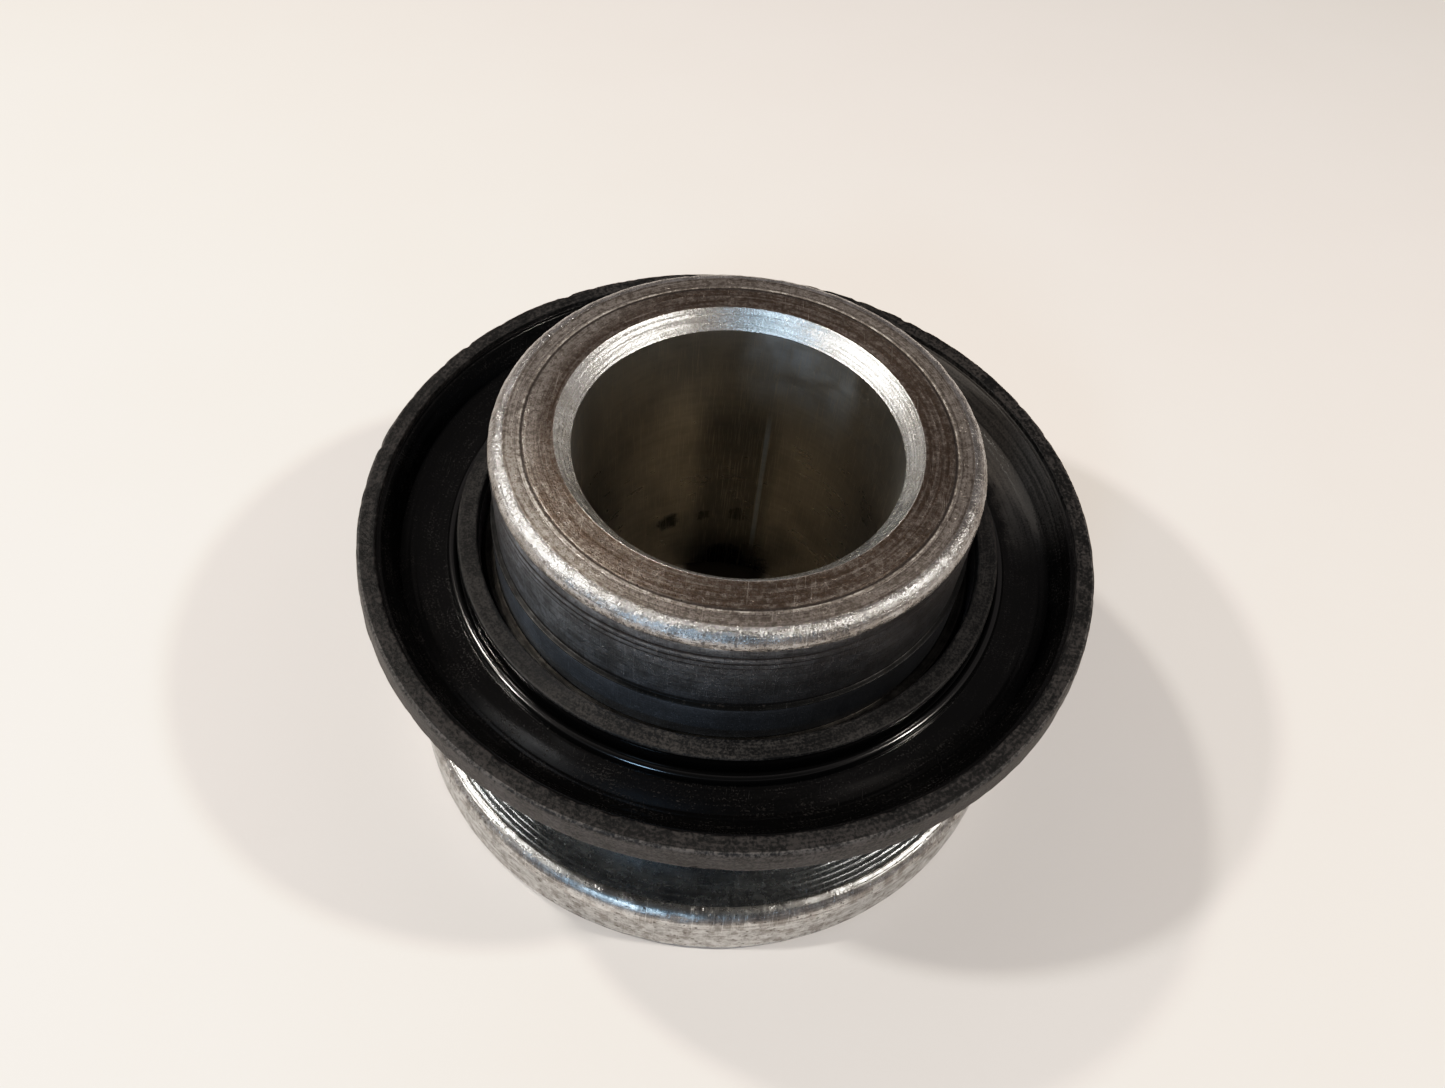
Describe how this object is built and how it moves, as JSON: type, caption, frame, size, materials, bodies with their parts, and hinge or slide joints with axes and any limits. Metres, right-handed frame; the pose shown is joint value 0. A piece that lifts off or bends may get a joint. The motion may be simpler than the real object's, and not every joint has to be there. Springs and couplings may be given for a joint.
{
  "type": "axle spacer collar with dust seal",
  "caption": "Turned steel wheel-axle spacer: a flanged collar with a plain bore, carrying a black rubber dust seal with an upturned cup-shaped lip round its nose.",
  "frame": {"origin": "centre of the flange's resting face, on the bore's axis", "axes": "+Z along the bore, from the flange towards the nose; the part is round, so +X and +Y are free"},
  "size_m": [0.0584, 0.0584, 0.0333],
  "materials": {
    "turned_steel": "turned, worn, lightly oiled",
    "pressed_steel": "pressed and bonded, satin",
    "seal_rubber": "moulded, semi-matte, dusty"
  },
  "bodies": {
    "collar": {"spacer_collar": "turned_steel"},
    "seal": {"dust_seal": "seal_rubber", "seal_case": "pressed_steel"}
  },
  "joints": [
    {"name": "seal_slide", "type": "slide", "parent": "collar", "child": "seal", "axis": [0, 0, 1], "range_m": [0, 0.026]}
  ]
}
